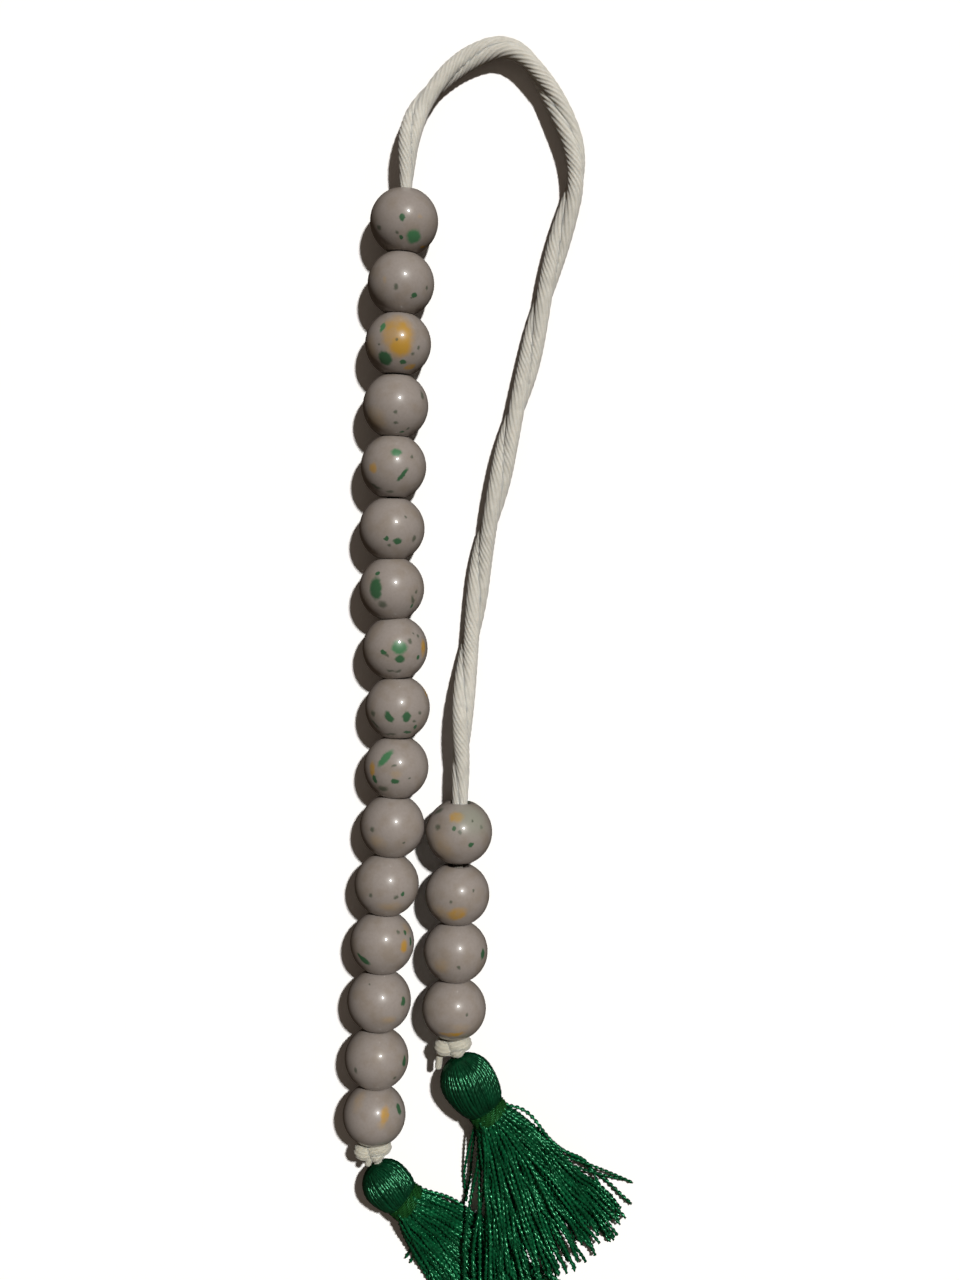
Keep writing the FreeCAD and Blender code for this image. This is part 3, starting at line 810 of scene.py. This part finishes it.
def nearest(line, point):
    """The number of the line's point that lies nearest to a place."""
    return int(np.argmin(np.linalg.norm(line - np.array(point), axis=1)))


def cord(centres, axes, material, bore_shade):
    """The whole cord, in three pieces: in the left beads, round the free loop, in the right beads."""
    line, at = even(spline_points(LEFT_ROW + LOOP + RIGHT_END), CORD_STEP)
    exits = {}
    for side in ("left", "right"):
        top = side + "_bead_01"
        exits[side] = centres[top] + axes[top] * (BEAD_HALF_LENGTH - EXIT_INSET)
    first = nearest(line, exits["left"])
    last = nearest(line, exits["right"])
    free = slice(first, last + 1)
    loop = cord_piece("free_cord", line[free], at[free], grip(at[free], BORE_GRIP), material)
    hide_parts("cord_loop")
    for side, part in (("left", slice(0, first + 1)), ("right", slice(last, len(line)))):
        sunk = line[part] + np.array(THREADED_SAG)
        # These pieces take the darker cotton: painted shade for the cord in the bores and in the gaps
        # between the beads.
        run = cord_piece(side + "_threaded_cord", sunk, at[part], THREADED_SHARE, bore_shade)
        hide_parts(side + "_cord_run")


# ---------------------------------------------------------------- knots


def knot(side, row_end, row_next, material):
    """A stopper knot: the two strands drawn down into a lump that narrows to the tassel."""
    centre = middle(side + "_stopper_knot")
    axis = (Vector(row_next) - Vector(row_end)).normalized()
    across = axis.cross(UP).normalized()
    rise = across.cross(axis)
    reach_across, reach_along, reach_up = KNOT_REACH
    parts = []
    for size, shift, lift in KNOT_TURNS:
        path = []
        for t in np.linspace(KNOT_GAP, 2 * math.pi - KNOT_GAP, KNOT_STEPS):
            wide = math.sin(t) + 2 * math.sin(2 * t)
            tall = math.cos(t) - 2 * math.cos(2 * t)
            path.append(tuple(
                centre + across * (reach_across * wide * size * MM)
                + axis * ((reach_along * tall + shift + KNOT_SKEW * wide) * MM)
                + rise * ((lift - reach_up * math.sin(3 * t) * size) * MM)
            ))
        parts.append(plied(path, KNOT_STRAND * MM))
    neck = [tuple(centre + axis * (along * MM)) for along in KNOT_NECK]
    parts.append(plied(neck, KNOT_NECK_RADIUS * MM))
    made = piece(side + "_knot", *join(parts), material, "cotton_cord")
    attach(made, "cord")
    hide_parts(side + "_stopper_knot")


def yarn_piece(name, node, points, radius, material):
    """A short length of plied cord that stands for a CAD node. points and radius are in millimetres."""
    path = [tuple(Vector(p) * MM) for p in points]
    made = piece(name, *plied(path, radius * MM), material, "cotton_cord")
    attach(made, "cord")
    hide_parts(node)


# ---------------------------------------------------------------- tassels


def tassel_axes(spec):
    """The direction from the crown to the skirt, and the direction across it."""
    angle = math.radians(spec["angle"])
    out = Vector((math.cos(angle), math.sin(angle), 0))
    return out, UP.cross(out)


def head_radius(spec, place):
    """The dome's radius at a place along the tassel, from the crown to the neck."""
    radius, neck = spec["radius"] - THREAD_RADIUS, spec["neck"]
    if place <= 0:
        return math.sqrt(max(0.0, radius * radius - place * place))
    share = min(1.0, place / neck)
    return NECK_HOLD + (radius - NECK_HOLD) * math.cos(share * math.pi / 2) ** SHOULDER


def tassel_head(side, spec, material):
    """The dome: threads folded over the hanger, side by side from the crown to the neck."""
    out, across = tassel_axes(spec)
    rng = random.Random(spec["seed"] * 11)
    crown = -(spec["radius"] - THREAD_RADIUS) * CROWN_SHARE
    stop = spec["neck"] + NECK_OVERLAP
    places = [
        crown + (stop - crown) * (0.5 - 0.5 * math.cos(math.pi * t)) for t in np.linspace(0, 1, HEAD_STEPS)
    ]
    parts = []
    for shrink, shift in HEAD_LAYERS:
        for k in range(HEAD_THREADS):
            start = 2 * math.pi * (k + shift + rng.uniform(-HEAD_JITTER, HEAD_JITTER)) / HEAD_THREADS
            sway = rng.uniform(-HEAD_SWAY, HEAD_SWAY)
            path = []
            for place in places:
                share = (place - crown) / (stop - crown)
                angle = start + HEAD_TWIST * share + sway * math.sin(math.pi * share)
                reach = max(head_radius(spec, place) * shrink, CROWN_REACH)
                path.append(tuple(
                    spec["centre"] + out * place + across * (reach * math.cos(angle))
                    + UP * (reach * math.sin(angle))
                ))
            parts.append(thread(path, FOLDED_RADIUS, rng.uniform(0, 6), profile=FOLDED))
    rows = np.array([tuple(spec["centre"] + out * p) for p in places])
    radii = np.array([max(head_radius(spec, p) * HEAD_CORE, 0.05 * MM) for p in places])
    parts.append(twisted(rows, ROUND, radii, radii, np.zeros(len(rows))))
    made = piece(side + "_head_threads", *join(parts), material, "silk_thread")
    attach(made, side + "_tassel")
    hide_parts(side + "_tassel_head")


def neck_binding(side, spec, material):
    """Thin thread wound round the neck in two layers."""
    out, across = tassel_axes(spec)
    parts = []
    for layer, (radius, turns, inset) in enumerate(BINDING_LAYERS):
        path = []
        for t in np.linspace(0, 1, BINDING_STEPS):
            angle = 2 * math.pi * turns * t + layer * 2.0
            place = inset + (BINDING_LENGTH - 2 * inset) * t + BINDING_SLANT * math.sin(angle)
            reach = radius + BINDING_WANDER * math.sin(5 * angle + layer)
            path.append(tuple(
                spec["centre"] + out * (spec["neck"] + place * MM)
                + across * (reach * MM * math.cos(angle)) + UP * (reach * MM * math.sin(angle))
            ))
        parts.append(thread(path, BINDING_THREAD))
    made = piece(side + "_binding_thread", *join(parts), material, "binding_thread")
    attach(made, side + "_tassel")
    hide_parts(side + "_neck_binding")


def ease(t):
    """A smooth step from 0 to 1."""
    t = min(1.0, max(0.0, t))
    return t * t * (3 - 2 * t)


def between(pair, share):
    """The value at a share of the way between a pair of values."""
    return pair[0] + (pair[1] - pair[0]) * share


def settle(spec, place, rest):
    """The height where a thread rests here, in millimetres. The right skirt lies on the left one, and
    its threads reach the table past the left one's edge."""
    if spec is TASSELS["left"]:
        return rest
    low = TABLE_FLOOR + (rest - spec["floor"][0]) * EDGE_SHARE
    return rest + (low - rest) * ease((place.x / MM - LEFT_SKIRT_EDGE) / EDGE_RUN)


def skirt_thread(spec, rng, share, depth):
    """One skirt thread: out of the neck, spreading into the fan and settling on what lies below.
    share runs from the fan's left edge to its right, and depth from its underside to its top."""
    out, across = tassel_axes(spec)
    spread = share * 2 - 1
    height = depth * 2 - 1
    start = (
        spec["centre"] + out * (spec["neck"] + NECK_START)
        + across * (spread * NECK_HOLD * math.sqrt(1 - NECK_ROUND * height * height))
        + UP * (height * NECK_HOLD * NECK_FLAT)
    )
    flare = math.radians(between(spec["flare"], share))
    fan = math.radians(between(spec["fan"], share) + rng.gauss(0, FAN_SCATTER))
    length = rng.uniform(*spec["length"]) * MM
    rest = between(spec["floor"], depth)
    ripple = rng.uniform(0, 6.3)
    bow, sway = rng.gauss(0, THREAD_SWAY), rng.gauss(0, THREAD_SWAY)
    stride = length / (SKIRT_STEPS - 1)
    flat = Vector((start.x, start.y, 0))
    points = []
    for i in range(SKIRT_STEPS):
        run = i * stride
        angle = flare + (fan - flare) * ease(run / FLARE_RUN)
        angle += bow * math.cos(6 * run / length + ripple)
        angle += sway * math.cos(13 * run / length + 2 * ripple)
        z = start.z + (settle(spec, flat, rest) * MM - start.z) * ease(run / DROP_RUN)
        points.append((flat.x, flat.y, z + RIPPLE * math.sin(run / RIPPLE_RUN + ripple)))
        turned = ease(run / MM)
        heading = out * (1 - turned) + Vector((math.cos(angle), math.sin(angle), 0)) * turned
        flat = flat + heading.normalized() * stride
    return points


def tassel_skirt(side, spec, material):
    """The skirt, as an upper and a lower heap of threads, with the strays."""
    rng = random.Random(spec["seed"])
    groups = {"lower": [], "upper": []}
    count = spec["threads"]
    for k in range(count):
        layer = k % SKIRT_LAYERS
        share = min(1.0, max(0.0, (k + rng.uniform(-SHARE_JITTER, SHARE_JITTER)) / (count - 1)))
        depth = (layer + rng.uniform(0.05, 0.95)) / SKIRT_LAYERS
        path = skirt_thread(spec, rng, share, depth)
        groups["lower" if depth < 0.5 else "upper"].append(thread(path, THREAD_RADIUS, rng.uniform(0, 6)))
    for route in STRAYS[side]:
        stray = thread(spline_points(route), THREAD_RADIUS * STRAY_SHARE, rng.uniform(0, 6))
        groups["upper"].append(stray)
    for group, parts in groups.items():
        made = piece("%s_skirt_%s" % (side, group), *join(parts), material, "silk_thread")
        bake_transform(made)
        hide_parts(side + "_tassel_skirt")


# ---------------------------------------------------------------- build

bead_centres, bead_axes = beads()

off_white = cotton("cotton_cord", (0.58, 0.563, 0.508))
# The threaded pieces get a much darker cotton than the free cord: painted shade for the cord in the bores
# and in the gaps between the beads.
cord(bead_centres, bead_axes, off_white, cotton("bore_shade_cotton", (0.19, 0.175, 0.15)))
emerald = silk(
    "silk_thread", (0.0016, 0.051, 0.0175), (0.0027, 0.091, 0.0315), 1.0, 2200, 0.07 * MM, (0.22, 0.34),
)
folded = silk(
    "folded_silk", (0.0007, 0.021, 0.008), (0.0013, 0.040, 0.015), 1.0, 5000, 0.02 * MM, (0.27, 0.39),
)
olive = silk(
    "binding_thread", (0.009, 0.062, 0.013), (0.015, 0.088, 0.020), 0.2, 5000, 0.03 * MM, (0.20, 0.32),
)
# The knots, tails and hangers get a darker, yellower cotton than the cord's: painted shade.
knot_shaded = cotton("knot_cotton_painted_shade", (0.50, 0.48, 0.40))

for side, spec in TASSELS.items():
    knot(side, *KNOT_ENDS[side], knot_shaded)
    yarn_piece(side + "_tail", side + "_cord_tail", TAILS[side], TAIL_RADIUS, knot_shaded)
    centre = spec["centre"] / MM
    hanger = [(*KNOT_ENDS[side][0][:2], centre.z), tuple(centre)]
    yarn_piece(side + "_hanger", side + "_hanger_loop", hanger, HANGER_RADIUS, knot_shaded)
    tassel_head(side, spec, folded)
    neck_binding(side, spec, olive)
    tassel_skirt(side, spec, emerald)


# ---------------------------------------------------------------- stage, light and camera


def stand(name, points, faces, shader, **visible):
    """A part of the stage, with what kinds of ray see it."""
    mesh = bpy.data.meshes.new(name)
    mesh.from_pydata(points, [], faces)
    mesh.materials.append(shader.material)
    made = bpy.data.objects.new(name, mesh)
    for kind, seen in visible.items():
        setattr(made, "visible_" + kind, seen)
    bpy.context.scene.collection.objects.link(made)


def floor(name, height, colour, **visible):
    """A large flat matt surface."""
    paper = Shader(name, Roughness=0.9)
    paper.skin.inputs["Base Color"].default_value = (*colour, 1)
    paper.skin.inputs["Specular IOR Level"].default_value = 0.0
    size = STAGE_REACH
    corners = [(-size, -size, height), (size, -size, height), (size, size, height), (-size, size, height)]
    stand(name, corners, [(0, 1, 2, 3)], paper, **visible)


def wall():
    """A pale round wall at the floor's edge, which only the camera sees."""
    pale = Shader("backdrop", Roughness=0.9)
    pale.skin.inputs["Base Color"].default_value = (0, 0, 0, 1)
    pale.skin.inputs["Emission Color"].default_value = (*PAPER, 1)
    pale.skin.inputs["Emission Strength"].default_value = 1.0
    count = WALL_CORNERS
    turns = [2 * math.pi * k / count for k in range(count)]
    low = [(STAGE_REACH * math.cos(t), STAGE_REACH * math.sin(t), WALL_FOOT) for t in turns]
    high = [(x, y, WALL_HEIGHT) for x, y, _ in low]
    faces = [(k, (k + 1) % count, (k + 1) % count + count, k + count) for k in range(count)]
    stand("backdrop", low + high, faces, pale, diffuse=False, glossy=False, shadow=False)


def stage():
    """A white floor for the picture, over a darker table that lights the object from below."""
    floor("floor", 0.0, PAPER, diffuse=False, glossy=False)
    floor("floor_bounce", -TABLE_DEPTH, TABLE, camera=False, shadow=False)
    wall()


def lights():
    """The sun and the room's weak light."""
    sun = bpy.data.lights.new("key", "SUN")
    sun.energy = SUN_ENERGY
    sun.angle = SUN_ANGLE
    sun.color = SUN_COLOUR
    holder = bpy.data.objects.new("key", sun)
    holder.rotation_euler = SUN_FROM.to_track_quat("Z", "Y").to_euler()
    bpy.context.scene.collection.objects.link(holder)
    world = bpy.data.worlds.new("room")
    world.use_nodes = True
    room = world.node_tree.nodes["Background"]
    room.inputs["Color"].default_value = (*ROOM_COLOUR, 1)
    room.inputs["Strength"].default_value = ROOM_STRENGTH
    bpy.context.scene.world = world


def camera():
    """The camera at the picture's place, and plain display colours."""
    data = bpy.data.cameras.new("camera")
    data.sensor_fit = "VERTICAL"
    data.sensor_height = SENSOR_HEIGHT
    data.lens = LENS
    data.clip_start = CLIP_START
    holder = bpy.data.objects.new("camera", data)
    holder.location = EYE
    holder.rotation_euler = (EYE_TILT, 0, 0)
    bpy.context.scene.collection.objects.link(holder)
    bpy.context.scene.camera = holder
    bpy.context.scene.view_settings.view_transform = "Standard"


stage()
lights()
camera()
